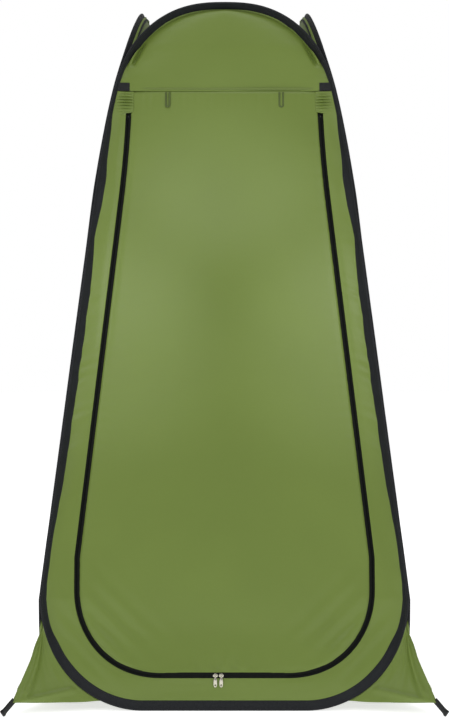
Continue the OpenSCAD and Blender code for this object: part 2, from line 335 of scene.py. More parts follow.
def mesh_object(name, points, faces, flat):
    """A smooth mesh that knows, for its weave, where each point lies on the flat cloth."""
    mesh = bpy.data.meshes.new(name)
    mesh.from_pydata([tuple(p) for p in points], [], faces)
    mesh.validate()
    attribute = mesh.attributes.new("flat", "FLOAT_VECTOR", "POINT")
    attribute.data.foreach_set("vector", np.asarray(flat, np.float32).ravel())
    mesh.polygons.foreach_set("use_smooth", [True] * len(mesh.polygons))
    mesh.update()
    thing = bpy.data.objects.new(name, mesh)
    scene.collection.objects.link(thing)
    return thing


def lengths(grid, axis):
    """Distance travelled along one direction of a grid."""
    step = np.linalg.norm(np.diff(grid, axis=axis), axis=-1)
    start = np.zeros_like(np.take(step, [0], axis=axis))
    return np.concatenate([start, np.cumsum(step, axis=axis)], axis=axis)


def grid_normals(grid):
    rows, columns = np.gradient(grid, axis=0), np.gradient(grid, axis=1)
    return unit(np.cross(rows, columns))


def sheet_mesh(name, grid, thick=CLOTH_T, facing=(0, -1, 0)):
    """A closed thin sheet round a grid of middle points, its outer face towards facing."""
    n, m = grid.shape[:2]
    normals = grid_normals(grid)
    backward = (normals * np.asarray(facing, float)).sum(-1).mean() < 0
    if backward:
        normals = -normals
    outer, inner = grid + normals * thick / 2, grid - normals * thick / 2
    points = np.concatenate([outer.reshape(-1, 3), inner.reshape(-1, 3)])
    flat = np.stack([lengths(grid, 1), lengths(grid, 0), np.zeros((n, m))], -1).reshape(-1, 3)
    index = np.arange(n * m).reshape(n, m)
    a, b, c, d = index[:-1, :-1], index[1:, :-1], index[1:, 1:], index[:-1, 1:]
    top = np.stack([a, b, c, d], -1).reshape(-1, 4)
    rim = np.concatenate([index[0, :], index[1:, -1], index[-1, -2::-1], index[-2:0:-1, 0]])
    after = np.roll(rim, -1)
    low = n * m
    wall = np.stack([rim, after, after + low, rim + low], -1)
    faces = [top, top[:, ::-1] + low, wall]
    if backward:
        faces = [f[:, ::-1] for f in faces]
    return mesh_object(name, points, np.concatenate(faces).tolist(), np.concatenate([flat, flat]))


def loft(name, rings, closed=False, caps=True):
    """A solid along an (n, m, 3) array of rings."""
    n, m = rings.shape[:2]
    index = np.arange(n * m).reshape(n, m)
    last = n if closed else n - 1
    a = index[np.arange(last)]
    b = index[(np.arange(last) + 1) % n]
    faces = np.stack([a, np.roll(a, -1, 1), np.roll(b, -1, 1), b], -1).reshape(-1, 4).tolist()
    if caps and not closed:
        faces += [index[0, ::-1].tolist(), index[-1].tolist()]
    around = lengths(np.concatenate([rings, rings[:, :1]], 1), 1)[:, :-1]
    travelled = np.broadcast_to(lengths(rings, 0).mean(1, keepdims=True), (n, m))
    flat = np.stack([around, travelled, around * 0], -1)
    return mesh_object(name, rings.reshape(-1, 3), faces, flat.reshape(-1, 3))


def join(name, things):
    """Several mesh objects as one."""
    points, faces, flats = [], [], []
    for thing in things:
        mesh = thing.data
        base = len(points)
        points += [tuple(v.co) for v in mesh.vertices]
        faces += [[base + i for i in p.vertices] for p in mesh.polygons]
        flats += [tuple(d.vector) for d in mesh.attributes["flat"].data]
        bpy.data.objects.remove(thing)
        bpy.data.meshes.remove(mesh)
    return mesh_object(name, points, faces, flats)


def ribbon(name, middle, across, width, thick, corner=0.3):
    """A tape along a path: across is the direction of its width at each point."""
    middle, across = np.asarray(middle, float), unit(np.asarray(across, float))
    along = unit(np.gradient(middle, axis=0))
    out = unit(np.cross(along, across))
    w, t, c = width / 2, thick / 2, thick * corner
    lower = [(-w, -t + c), (-w + c, -t), (0, -t), (w - c, -t), (w, -t + c)]
    section = lower + [(-x, -y) for x, y in lower]
    rings = np.stack([middle + across * x + out * y for x, y in section], 1)
    return loft(name, rings)


def stitches(name, path, out, pitch=0.005, long=0.0034, wide=0.0008, proud=0.0004):
    """A row of sewn stitches on a surface, as small threads lying along a path."""
    path, out = np.asarray(path, float), np.asarray(out, float)
    travelled = np.concatenate([[0], np.cumsum(np.linalg.norm(np.diff(path, axis=0), axis=1))])
    at = np.arange(pitch / 2, travelled[-1], pitch)

    def sample(values, where):
        return np.stack([np.interp(where, travelled, values[:, k]) for k in range(3)], -1)

    a, b = sample(path, at - long / 2), sample(path, at + long / 2)
    n = unit(sample(out, at))
    side = unit(np.cross(b - a, n)) * wide / 2
    mid = (a + b) / 2 + n * proud
    points = np.stack([a - n * proud, b - n * proud, mid + side, mid - side, mid + n * proud], 1)
    base = np.arange(len(at))[:, None, None] * 5
    faces = np.array([(0, 2, 4), (2, 1, 4), (1, 3, 4), (3, 0, 4), (0, 3, 2), (1, 2, 3)])[None] + base
    return mesh_object(name, points.reshape(-1, 3), faces.reshape(-1, 3).tolist(), points.reshape(-1, 3))


def facing_front(count):
    return np.tile((0, -1.0, 0), (count, 1))


# -------- materials

BANDS_AT_SCALE_1 = 3.18


def add(tree, kind, inputs=(), **settings):
    node = tree.nodes.new(kind)
    for key, value in settings.items():
        setattr(node, key, value)
    for key, value in dict(inputs).items():
        if isinstance(value, bpy.types.NodeSocket):
            tree.links.new(value, node.inputs[key])
        else:
            node.inputs[key].default_value = value
    return node


def math_node(tree, operation, a, b):
    return add(tree, "ShaderNodeMath", {0: a, 1: b}, operation=operation).outputs[0]


def flat_coordinates(tree):
    """Place on the cloth itself, in metres, so that a weave moves with its sheet."""
    return add(tree, "ShaderNodeAttribute", attribute_name="flat").outputs["Vector"]


def noise(tree, place, **settings):
    return add(tree, "ShaderNodeTexNoise", {"Vector": place, **settings}).outputs["Fac"]


def thread(tree, place, direction, pitch, angle):
    """Height of a set of parallel threads, from 0 to 1."""
    turned = add(tree, "ShaderNodeMapping", {"Vector": place, "Rotation": (0, 0, angle)}).outputs[0]
    return add(
        tree, "ShaderNodeTexWave",
        {"Vector": turned, "Scale": 1 / pitch / BANDS_AT_SCALE_1, "Distortion": 0.3, "Detail": 1.0},
        wave_type="BANDS", bands_direction=direction,
    ).outputs["Fac"]


def new_material(name):
    material = bpy.data.materials.new(name)
    material.use_nodes = True
    return material, material.node_tree, material.node_tree.nodes["Principled BSDF"]


def cloth_material(
    name, colour, shade, pitch, rough, sheen, gloss=0.4, relief=0.15, crumple=0.25, diagonal=False, patch=3.0
):
    """Woven cloth: two sets of threads with painted shade in the gaps between them, uneven dye, and a slight
    crumple.
    """
    material, tree, shader = new_material(name)
    place = flat_coordinates(tree)
    angle = math.pi / 4 if diagonal else 0.0
    warp, weft = (thread(tree, place, direction, pitch, angle) for direction in ("X", "Y"))
    weave = math_node(tree, "MAXIMUM", warp, weft)
    cloud = noise(tree, place, Scale=patch, Detail=4.0)
    slub = noise(tree, place, Scale=160.0, Detail=2.0)
    clouds, slubs = math_node(tree, "MULTIPLY", cloud, 0.75), math_node(tree, "MULTIPLY", slub, 0.25)
    ramp = add(tree, "ShaderNodeValToRGB", {"Fac": math_node(tree, "ADD", clouds, slubs)})
    dark, light = ramp.color_ramp.elements
    dark.position, light.position = 0.3, 0.7
    dark.color = (*[c * (1 - shade) for c in colour], 1)
    light.color = (*[min(1, c * (1 + shade)) for c in colour], 1)
    # Painted shade: the colour is darkened in the gaps between the threads.
    gap_shade = math_node(tree, "MULTIPLY", math_node(tree, "SUBTRACT", 1.0, weave), 0.35)
    darker = add(tree, "ShaderNodeMix", {0: gap_shade}, data_type="RGBA", blend_type="MULTIPLY")
    tree.links.new(ramp.outputs["Color"], darker.inputs[6])
    darker.inputs[7].default_value = (0.55, 0.58, 0.52, 1)
    tree.links.new(darker.outputs[2], shader.inputs["Base Color"])
    roughness = math_node(tree, "ADD", rough - 0.06, math_node(tree, "MULTIPLY", cloud, 0.12))
    tree.links.new(roughness, shader.inputs["Roughness"])
    shader.inputs["Sheen Weight"].default_value = sheen
    shader.inputs["Sheen Roughness"].default_value = 0.4
    shader.inputs["Specular IOR Level"].default_value = gloss
    creases = noise(tree, place, Scale=11.0, Detail=5.0, Roughness=0.55)
    coarse = add(tree, "ShaderNodeBump", {"Height": creases, "Strength": crumple, "Distance": 0.004})
    woven = {"Height": weave, "Strength": relief, "Distance": pitch * 0.4, "Normal": coarse.outputs[0]}
    fine = add(tree, "ShaderNodeBump", woven)
    tree.links.new(fine.outputs[0], shader.inputs["Normal"])
    return material


def metal_material(name, colour, rough):
    """Plated metal with faint scratches and rubbed patches."""
    material, tree, shader = new_material(name)
    place = add(tree, "ShaderNodeTexCoord").outputs["Object"]
    scratch = noise(tree, place, Scale=900.0, Detail=3.0)
    rub = noise(tree, place, Scale=130.0, Detail=2.0)
    ramp = add(tree, "ShaderNodeValToRGB", {"Fac": rub})
    ramp.color_ramp.elements[0].color = (*[c * 0.82 for c in colour], 1)
    ramp.color_ramp.elements[1].color = (*colour, 1)
    tree.links.new(ramp.outputs["Color"], shader.inputs["Base Color"])
    roughness = math_node(tree, "ADD", rough - 0.08, math_node(tree, "MULTIPLY", scratch, 0.16))
    tree.links.new(roughness, shader.inputs["Roughness"])
    shader.inputs["Metallic"].default_value = 1.0
    dent = add(tree, "ShaderNodeBump", {"Height": scratch, "Strength": 0.12, "Distance": 0.0003})
    tree.links.new(dent.outputs[0], shader.inputs["Normal"])
    return material


green = cloth_material(
    "fabric_green", (0.150, 0.212, 0.038), 0.05, 0.0006,
    rough=0.38, sheen=0.03, gloss=0.32, relief=0.12, crumple=0.12,
)
fold_shade_green, loop_shade_green = (0.130, 0.184, 0.034), (0.075, 0.108, 0.022)
# Painted shade: a darker copy of the wall's green, standing for shade on the folded seam strip.
green_fold_shaded = cloth_material("fabric_green_fold_painted_shade", fold_shade_green, 0.06, 0.0006, rough=0.52, sheen=0.03, crumple=0.2)
# Painted shade: a darker copy of the wall's green, standing for the shadows on the tie loops' legs.
green_loop_shaded = cloth_material("fabric_green_tape_painted_shade", loop_shade_green, 0.08, 0.0007, rough=0.6, sheen=0.03, relief=0.4)
charcoal = cloth_material(
    "binding_charcoal", (0.008, 0.0095, 0.012), 0.25, 0.0011,
    rough=0.6, sheen=0.1, gloss=0.25, relief=0.5, crumple=0.5, diagonal=True, patch=25.0,
)
black_web = cloth_material(
    "webbing_black", (0.008, 0.009, 0.010), 0.2, 0.0019,
    rough=0.6, sheen=0.1, gloss=0.35, relief=0.8, crumple=0.2, patch=40.0,
)
black_tape = cloth_material(
    "zip_tape_black", (0.005, 0.006, 0.005), 0.2, 0.0009,
    rough=0.7, sheen=0.02, gloss=0.12, relief=0.6, crumple=0.15, diagonal=True, patch=40.0,
)
black_teeth = cloth_material(
    "zip_teeth_black", (0.006, 0.007, 0.006), 0.15, 0.002,
    rough=0.85, sheen=0.0, gloss=0.02, relief=0.05, crumple=0.05,
)
thread_dark = cloth_material("thread_dark", (0.02, 0.022, 0.024), 0.2, 0.0004, rough=0.55, sheen=0.05)
thread_green = cloth_material("thread_green", (0.15, 0.21, 0.055), 0.1, 0.0004, rough=0.5, sheen=0.05)
champagne = metal_material("zip_metal_champagne", (0.62, 0.585, 0.50), 0.24)
dark_metal = metal_material("zip_metal_dark", (0.05, 0.05, 0.05), 0.45)
spring_steel = metal_material("spring_steel", (0.42, 0.44, 0.46), 0.35)


def finish_piece(thing, material, body=None, nodes=()):
    thing.data.materials.clear()
    thing.data.materials.append(material)
    if body:
        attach(thing, body)
    if nodes:
        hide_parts(*nodes)


# -------- walls

DRAW_REACH = 0.035


def sleeve_edge(s):
    """How far the sleeve's inner edge lies from its root: more where the wall's cloth laps over it."""
    z = outline(s)[1]
    side = smooth((s - 0.35) / 0.5) * smooth((2.5 - s) / 0.3)
    lap = 0.0125 * bump(z, 0.42, 0.26) + 0.0075 * bump(z, 1.30, 0.12) + 0.0155 * bump(z, 1.68, 0.20)
    rough = 0.0011 * waves(z, 0.11, 5) + 0.0012 * waves(z, 0.028, 6) * bump(z, 1.0, 0.5)
    return (lap + 0.0016 + rough) * side


def edge_lengths(points):
    """Distance travelled along a line of points, as a column."""
    return np.concatenate([[0], np.cumsum(np.linalg.norm(np.diff(points, axis=0), axis=1))])[:, None]


def draw_out(y, root_points, away):
    """The wall next to a loosened sleeve is drawn outward with it."""
    drawn = root_points[:, 1:2] - wall_y(root_points[:, 2:])
    return y + drawn * np.exp(-np.maximum(away, 0) / DRAW_REACH)


def crease(x, z, a, b, deep, wide):
    """A pinched fold along the line from a to b, with a small ridge on the side of the middle."""
    (ax, az), (bx, bz) = a, b
    long = math.hypot(bx - ax, bz - az)
    ux, uz = (bx - ax) / long, (bz - az) / long
    along = (x - ax) * ux + (z - az) * uz
    off = -(x - ax) * uz + (z - az) * ux
    within = smooth(along / long * 4) * smooth((long - along) / long * 4) * (along > 0) * (along < long)
    return within * deep * (np.exp(-(((off - wide * 1.6) / wide) ** 2)) - np.exp(-((off / wide) ** 2)))


def wall_grid(s, columns, seed, swell=0.003, extra=None, foot=False):
    """A whole wall between two halves of its hoop: one row for each s, and a last one inside the sleeve."""
    r = in_sleeve(s, sleeve_edge(s) - 0.001)
    e = in_sleeve(s, sleeve_edge(s) + 0.008)
    q = np.linspace(-1, 1, columns)
    q = np.sign(q) * (1 - (1 - np.abs(q)) ** 1.25)
    x = r[:, :1] * q
    z = np.broadcast_to(r[:, 2:], x.shape).copy()
    away = r[:, :1] - np.abs(x)
    travelled = edge_lengths(r)
    clear = np.minimum(away, z - r[0, 2]) if foot else away
    out = swell * undulate(x, z, 0.55, seed) * smooth(clear / 0.03) - foot_bend(z) * smooth(clear / 0.12)
    out = out + puckers(travelled, away, 0.0011, 0.045, 0.035, seed + 1) * smooth(away / 0.006)
    if extra is not None:
        out = out + extra(x, z)
    inner = xyz(x, draw_out(wall_y(z) - out, r, away), z)
    inner[:, 0], inner[:, -1] = mirror(r, -1), r
    grid = np.concatenate([mirror(e, -1)[:, None], inner, e[:, None]], 1)
    lift = np.array((0, 0, 0.008))
    ends = [grid[:1] - lift] if foot else []
    return np.concatenate(ends + [grid, grid[-1:] + lift])


def wall_outward(k):
    return spin(np.array([0.0, -1.0, 0.0]), k)


def whole_wall(side, seed):
    k = SIDES[side]
    grid = wall_grid(np.linspace(0, 2.999, 170), 72, seed, foot=True)
    thing = sheet_mesh(f"{side}_wall_cloth", spin(grid, k), facing=wall_outward(k))
    finish_piece(thing, green, side, [f"{side}_panel"])


for side, seed in (("right", 11), ("back", 21), ("left", 31)):
    whole_wall(side, seed)


def dome_creases(x, z):
    """One pinched fold near each end of the arch, where the cloth meets the corner."""
    return crease(-np.abs(x), z, (-0.262, 1.766), (-0.222, 1.846), 0.013, 0.0055)


# The dome above the seam on the front
dome_grid = wall_grid(np.linspace(2.0, 2.999, 90), 120, 41, swell=0.0015, extra=dome_creases)
dome = sheet_mesh("front_dome_cloth", dome_grid)
finish_piece(dome, green, "front", ["front_dome"])

# -------- sleeves

SECTION = np.array([
    (0.0, 0.9), (1.5, 1.15), (3.2, 1.05), (4.2, 0.75), (5.2, 1.05), (8.0, 1.3), (13.0, 1.35), (18.0, 1.4),
    (20.6, 1.85), (22.4, 2.7), (24.2, 3.2), (26.0, 2.95), (27.3, 1.9), (28.0, 0.0),
]) / 1000
SECTION = np.concatenate([SECTION, SECTION[-2::-1] * (1, -1)])


def round_hoop(count):
    """Steps up the right half of a hoop and down the left one, and which half each is on."""
    steps = np.linspace(0, 3, 3 * count + 1)
    hand = np.concatenate([np.ones(len(steps)), -np.ones(len(steps) - 2)])
    return np.concatenate([steps, steps[-2:0:-1]]), hand


def sleeve(side, k):
    """The binding, folded over the wire, with a row of stitches along each face."""
    s, hand = round_hoop(64)
    inner = sleeve_edge(s)[:, None]
    u = inner + (BAND_W - inner) * SECTION[None, :, 0] / BAND_W
    lumps = 1 + 0.12 * waves(s * 1.4 + hand, 0.16, 60 + k)[:, None]
    v = SECTION[None, :, 1] * np.minimum(lumps, 1.0)
    rings = in_sleeve(np.broadcast_to(s[:, None], u.shape), u, v)
    rings[..., 0] *= hand[:, None]
    thing = loft(f"{side}_sleeve", spin(rings, k), closed=True)
    finish_piece(thing, charcoal, side, [f"{side}_binding"])
    rows = []
    line = np.linspace(0, 2.99, 700)
    for sign in (1, -1):
        for face in (1, -1):
            at = sleeve_edge(line) + 0.0042
            path = mirror(in_sleeve(line, at, np.full_like(line, 0.0010 * face)), sign)
            out = mirror(sleeve_frame(line)[2] * face, sign)
            rows.append(stitches("row", spin(path, k), spin(out, k), pitch=0.0055, long=0.0038))
    finish_piece(join(f"{side}_sleeve_stitches", rows), thread_dark, side)


WIRE_R = 0.0013
WIRE_U = 0.0253


def hoop_wire(side, k):
    """The sprung wire inside the sleeve, on the same smooth curve."""
    s, hand = round_hoop(50)
    s, a = np.meshgrid(s, np.linspace(0, 2 * math.pi, 10, endpoint=False), indexing="ij")
    rings = in_sleeve(s, WIRE_U + WIRE_R * np.cos(a), WIRE_R * np.sin(a))
    rings[..., 0] *= hand[:, None]
    wire = loft(f"{side}_wire", spin(rings, k), closed=True)
    finish_piece(wire, spring_steel, side, [f"{side}_hoop"])


for side, k in SIDES.items():
    sleeve(side, k)
    hoop_wire(side, k)

# -------- front wall below the seam

SEAM_S = 1.999
DOOR_LAP = 0.008


def front_out(x, z):
    """Unevenness of the front wall's cloth, the same on both sides of the zip."""
    out = 0.0022 * undulate(x, z, 0.6, 71)
    corner_x, corner_z = 0.335, 0.215
    for side in (-1, 1):
        d = (np.abs(x - side * corner_x) + np.abs(z - corner_z)) / math.sqrt(2)
        slant = ((x - side * corner_x) * side - (z - corner_z)) / math.sqrt(2)
        out = out + 0.0030 * np.sin(slant * 2 * math.pi / 0.05) * np.exp(-((d / 0.09) ** 2))
    middle = np.exp(-((x / 0.075) ** 2)) * np.exp(-(((z - 0.115) / 0.03) ** 2))
    return out + 0.0034 * np.cos(x * 2 * math.pi / 0.05) * middle


def gathers(x, z):
    """Short level gathers beside the zip's top ends, under the seam."""
    place = bump(np.abs(x), 0.276, 0.032) * bump(z, 1.668, 0.042)
    return 0.0048 * place * np.sin((SEAM_Z - z + 0.012 * np.abs(x)) * 2 * math.pi / 0.0082)


def surround_rows(x0, z0, r, e, sign):
    """Rows of the border from the zip out to the sleeve, on the side of the given sign."""
    q = np.linspace(0, 1, 26)[None]
    x = x0[:, None] * (1 - q) + r[:, :1] * q
    z = z0[:, None] * (1 - q) + r[:, 2:] * q
    away = np.hypot(r[:, :1] - x, r[:, 2:] - z)
    near_zip = np.hypot(x - x0[:, None], z - z0[:, None])
    travelled = edge_lengths(r)
    out = front_out(x * sign, z) * smooth(near_zip / 0.02) * smooth(away / 0.03)
    out = out + puckers(travelled, away, 0.0005, 0.06, 0.02, 81) * smooth(away / 0.006)
    out = out + puckers(travelled, near_zip, 0.0003, 0.04, 0.015, 82) * smooth(near_zip / 0.006)
    out = out + gathers(x, z) * smooth(away / 0.004)
    inner = xyz(x, draw_out(wall_y(z) - out, r, away), z)
    inner[:, -1] = r
    return mirror(np.concatenate([inner, e[:, None]], 1), sign)


def surround_grid():
    beside, above_zip = np.linspace(1, ZIP_END, 260)[1:], np.linspace(ZIP_END, SEAM_S, 40)[1:]
    s = np.concatenate([np.linspace(0, 1, 64), beside, above_zip])
    x0, z0 = beside_zip(s, ZIP_EDGE - 0.001)
    r, e = in_sleeve(s, sleeve_edge(s) - 0.001), in_sleeve(s, sleeve_edge(s) + 0.008)
    above = s > ZIP_END
    rise = (s - ZIP_END) / (SEAM_S - ZIP_END)
    x0 = np.where(above, beside_zip(ZIP_END, -0.0062)[0] - DOOR_LAP * smooth(rise * 9), x0)
    z0 = np.where(above, z0 + (r[-1, 2] - z0) * rise, z0)
    halves = {sign: surround_rows(x0, z0, r, e, sign) for sign in (1, -1)}
    for half_grid in halves.values():
        behind = 1 - smooth((np.abs(half_grid[..., 0]) - x0[:, None]) / (2 * DOOR_LAP))
        half_grid[..., 1] += 0.0014 * behind * np.where(above, smooth(rise * 9), 0)[:, None]
    share = np.linspace(-1, 1, 60)[1:-1]
    flat = np.zeros_like(share)
    low_r, low_e = r[0] + np.outer(flat, r[0]), e[0] + np.outer(flat, e[0])
    low_r[:, 0], low_e[:, 0] = r[0, 0] * share, e[0, 0] * share
    middle = surround_rows(x0[0] * share, z0[0] + flat, low_r, low_e, 1)
    return np.concatenate([halves[-1][::-1], middle, halves[1]])


surround_cloth = surround_grid()
surround = sheet_mesh("front_surround_cloth", surround_cloth)
finish_piece(surround, green, "front", ["front_surround"])
surround_cloth.swapaxes(0, 1)


def door_grid():
    s = np.concatenate([np.linspace(0, 1, 70), np.linspace(1, ZIP_END, 150)[1:]])
    x0, z0 = beside_zip(s, -ZIP_EDGE + 0.001)
    rise = np.linspace(z0[-1], tip(SEAM_S)[2] - 0.0004, 9)[1:]
    x0 = np.concatenate([x0, np.full(8, x0[-1])])
    z0 = np.concatenate([z0, rise])
    q = np.linspace(-1, 1, 97)[None]
    x, z = x0[:, None] * q, np.broadcast_to(z0[:, None], (len(z0), 97))
    edge_away = x0[:, None] - np.abs(x)
    foot_away = z - (ZIP_BOTTOM + ZIP_EDGE)
    away = np.minimum(edge_away, foot_away)
    out = front_out(x, z) * smooth(away / 0.02) * smooth((SEAM_Z - z) / 0.03)
    out = out - foot_bend(z) * smooth(away / 0.1)
    out = out + puckers(z, edge_away, 0.0007, 0.035, 0.025, 91) * smooth(edge_away / 0.006)
    out = out + puckers(x, SEAM_Z - z, 0.0009, 0.03, 0.03, 92) * smooth((SEAM_Z - z) / 0.006)
    return on_wall(x, z, out)


door_cloth = door_grid()
door = sheet_mesh("door_cloth", door_cloth)
finish_piece(door, green, None, ["door"])
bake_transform(door)

# The seam under the dome: a flat folded strip, sewn along its lower edge
seam_x = np.linspace(-1, 1, 160) * (root(2.0)[0] - 0.002)
seam_z = np.full_like(seam_x, SEAM_Z + 0.004)
seam = ribbon("front_seam", on_wall(seam_x, seam_z, 0.0014), np.tile((0, 0, 1.0), (160, 1)), 0.007, 0.0010)
# The strip's darker green is painted shade on the fold.
finish_piece(seam, green_fold_shaded, "front")
sewn = stitches("front_seam_stitches", on_wall(seam_x, seam_z - 0.0022, 0.0021), facing_front(160))
finish_piece(sewn, thread_green, "front")

# -------- zip

ZIP_STEPS = np.concatenate([np.linspace(0, 1, 70), np.linspace(1, ZIP_END, 110)[1:]])


def zip_band(name, inner, outer, thick, out):
    """A tape along the whole zip, between two offsets from its middle line."""
    s = np.concatenate([-ZIP_STEPS[::-1], ZIP_STEPS[1:]])
    sign, s = np.sign(s + 1e-9), np.abs(s)
    columns = []
    for offset in np.linspace(inner, outer, 5):
        x, z = beside_zip(s, offset)
        columns.append(on_wall(x * sign, z, out))
    return sheet_mesh(name, np.stack(columns, 1), thick)


def teeth(name, sign, shift_by, pitch=0.0024):
    """Coil teeth: one small rounded bar across the coil at each pitch, on one side of the zip."""
    s = np.linspace(0, ZIP_END - 0.012, 3000)
    x, z = zip_line(s)
    travelled = np.concatenate([[0], np.cumsum(np.hypot(np.diff(x), np.diff(z)))])
    at = np.interp(np.arange(pitch / 2 + shift_by, travelled[-1], pitch), travelled, s)
    points, faces = [], []
    ends = (0.00045, 0.0021) if sign > 0 else (-0.0021, -0.00045)
    for hand in (-1, 1):
        x0, z0 = beside_zip(at, ends[0])
        x1, z1 = beside_zip(at, ends[1])
        direction = unit(np.stack([x1 - x0, z1 - z0], -1))
        tall = np.stack([-direction[:, 1], direction[:, 0]], -1) * 0.00075
        rings = []
        for share, size in ((0, 0.55), (0.2, 1.0), (0.8, 1.0), (1, 0.6)):
            cx, cz = x0 + (x1 - x0) * share, z0 + (z1 - z0) * share
            for dy, dt in ((1, 0), (0, 1), (-1, 0), (0, -1)):
                x, z = cx + tall[:, 0] * dt * size, cz + tall[:, 1] * dt * size
                rings.append(on_wall(x * hand, z, 0.0011 * dy * size))
        block = np.stack(rings, 1)
        base = len(points)
        points += block.reshape(-1, 3).tolist()
        quads = [
            (r * 4 + j, r * 4 + (j + 1) % 4, (r + 1) * 4 + (j + 1) % 4, (r + 1) * 4 + j)
            for r in range(3) for j in range(4)
        ]
        quads += [(3, 2, 1, 0), (12, 13, 14, 15)]
        if hand > 0:
            quads = [q[::-1] for q in quads]
        for i in range(len(at)):
            faces += [[base + i * 16 + v for v in q] for q in quads]
    return mesh_object(name, points, faces, points)


frame_tape = zip_band("zip_tape_frame_woven", -COIL_LAP, TAPE_HALF, 0.001, -0.0011)
finish_piece(frame_tape, black_tape, "front", ["zip_tape_frame"])
door_tape = zip_band("zip_tape_door_woven", -TAPE_HALF, -0.0002, 0.001, 0.0)
finish_piece(door_tape, black_tape, "door", ["zip_tape_door"])
finish_piece(teeth("zip_teeth_frame", 1, 0.0), black_teeth, "front", ["zip_coil_frame"])
finish_piece(teeth("zip_teeth_door", -1, 0.0012), black_teeth, "door", ["zip_coil_door"])

# Topstitching beside the zip, on the wall and on the door
for name, offset, body in (("zip_stitches_frame", 0.0112, "front"), ("zip_stitches_door", -0.0112, "door")):
    s = np.linspace(0, ZIP_END, 900)
    rows = []
    for sign in (1, -1):
        x, z = beside_zip(s, offset)
        rows.append(stitches("row", on_wall(x * sign, z, 0.0006), facing_front(900)))
    finish_piece(join(name, rows), thread_green, body)

# -------- sliders, pulls, stops

SLIDER_X = {"left": -0.0249, "right": -0.0089}


def rounded(name, points, depth, bevel):
    """A plate cut to an outline of (x, z) points, depth thick along Y, with rounded rims."""
    points = np.asarray(points, float)
    centre = points.mean(0)
    near = [(-depth / 2, bevel), (-depth / 2 + bevel * 0.4, bevel * 0.3), (-depth / 2 + bevel, 0)]
    rings = []
    for y, inset in near + [(-y, inset) for y, inset in near[::-1]]:
        shrink = points - unit(points - centre) * inset
        rings.append(xyz(shrink[:, 0], y, shrink[:, 1]))
    return loft(name, np.stack(rings))


def tube(name, path, radius, sides=10):
    path = np.asarray(path, float)
    along = unit(np.gradient(path, axis=0))
    helper = np.where(np.abs(along[:, :1]) > 0.9, (0, 0, 1.0), (1.0, 0, 0))
    side = unit(np.cross(along, helper))
    up = np.cross(along, side)
    t = np.linspace(0, 2 * math.pi, sides, endpoint=False)
    spokes = np.cos(t)[None, :, None] * side[:, None] + np.sin(t)[None, :, None] * up[:, None]
    return loft(name, path[:, None] + radius * spokes)


def slider(side):
    """Two rounded shields joined by a post, and on each face a bridge for its pull."""
    x = SLIDER_X[side]
    low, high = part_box(f"slider_{side}")
    centre_y, centre_z = (low[1] + high[1]) / 2, ZIP_BOTTOM
    parts = []
    t = np.linspace(0, 2 * math.pi, 48, endpoint=False)
    body_x = 0.0066 * np.cos(t)
    waist = 1 - 0.22 * np.exp(-(((np.cos(t) + 0.75) / 0.35) ** 2))
    body_z = 0.0054 * np.sign(np.sin(t)) * np.abs(np.sin(t)) ** 0.8 * waist
    for face in (-1, 1):
        plate = rounded("plate", np.stack([body_x, body_z], -1), 0.0014, 0.0005)
        plate.data.transform(Matrix.Translation((x, centre_y + face * 0.0024, centre_z)))
        parts.append(plate)
        a = np.linspace(0, math.pi, 14)
        arch_y = centre_y + face * (0.0031 + 0.0036 * np.sin(a))
        arch = xyz(x + 0.0034 * np.cos(a), arch_y, centre_z + 0.001)
        parts.append(tube("bridge", arch, 0.0008))
    post = np.array([(x, centre_y - 0.0018, centre_z), (x, centre_y + 0.0018, centre_z)])
    parts.append(tube("post", post, 0.0011, 12))
    body = join(f"slider_{side}_body", parts)
    finish_piece(body, champagne, f"slider_{side}", [f"slider_{side}"])


def pull(side, where):
    """A rounded tab with a hole, hanging by its eye."""
    face = -1 if where == "outer" else 1
    node = f"pull_{side}_{where}"
    low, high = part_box(node)
    x = SLIDER_X[side]
    top, bottom = high[2], low[2]
    y_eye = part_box(f"slider_{side}")[0 if face < 0 else 1][1] - face * 0.0016
    y = (low[1] if face < 0 else high[1]) - face * 0.0008
    t = np.linspace(0, 2 * math.pi, 56, endpoint=False)
    half_long = (top - bottom - 0.0075) / 2
    mid_z = bottom + half_long
    ox = np.sign(np.cos(t)) * np.abs(np.cos(t)) ** 0.72 * 0.0049
    oz = np.sign(np.sin(t)) * np.abs(np.sin(t)) ** 0.72 * half_long
    narrow = 1 - 0.16 * smooth((oz / half_long + 0.2) / 1.2)
    outer = np.stack([ox * narrow, oz], -1)
    hole_at = (0, -half_long + 0.0062)
    hole = np.stack([np.cos(t) * 0.0021, np.sin(t) * 0.0021 + hole_at[1]], -1)
    hole_rim, outer_rim = hole + unit(hole - hole_at) * 0.0004, outer - unit(outer) * 0.0005
    near = [(hole, -0.5), (hole_rim, -0.72), (outer_rim, -0.72), (outer, -0.4)]
    rings = []
    for pts, dy in near + [(pts, -dy) for pts, dy in near[::-1]]:
        rings.append(xyz(x + pts[:, 0], y + dy * 0.001, mid_z + pts[:, 1]))
    tab = loft("tab", np.stack(rings + rings[:1]), caps=False)
    line = [(x, y, mid_z + half_long - 0.001), (x, y, top - 0.005), (x, (y + y_eye) / 2, top - 0.0028)]
    neck = tube("neck", line, 0.0015, 12)
    a = np.linspace(-0.3, 1.35 * math.pi, 16)
    ring = xyz(x, y_eye + 0.0017 * np.cos(a), top - 0.0019 + 0.0017 * np.sin(a))
    eye = ribbon("eye", ring, np.tile((1.0, 0, 0), (16, 1)), 0.0036, 0.0007)
    finish_piece(join(f"{node}_tab", [tab, neck, eye]), champagne, node, [node])


for side in SLIDER_X:
    slider(side)
    for where in ("outer", "inner"):
        pull(side, where)

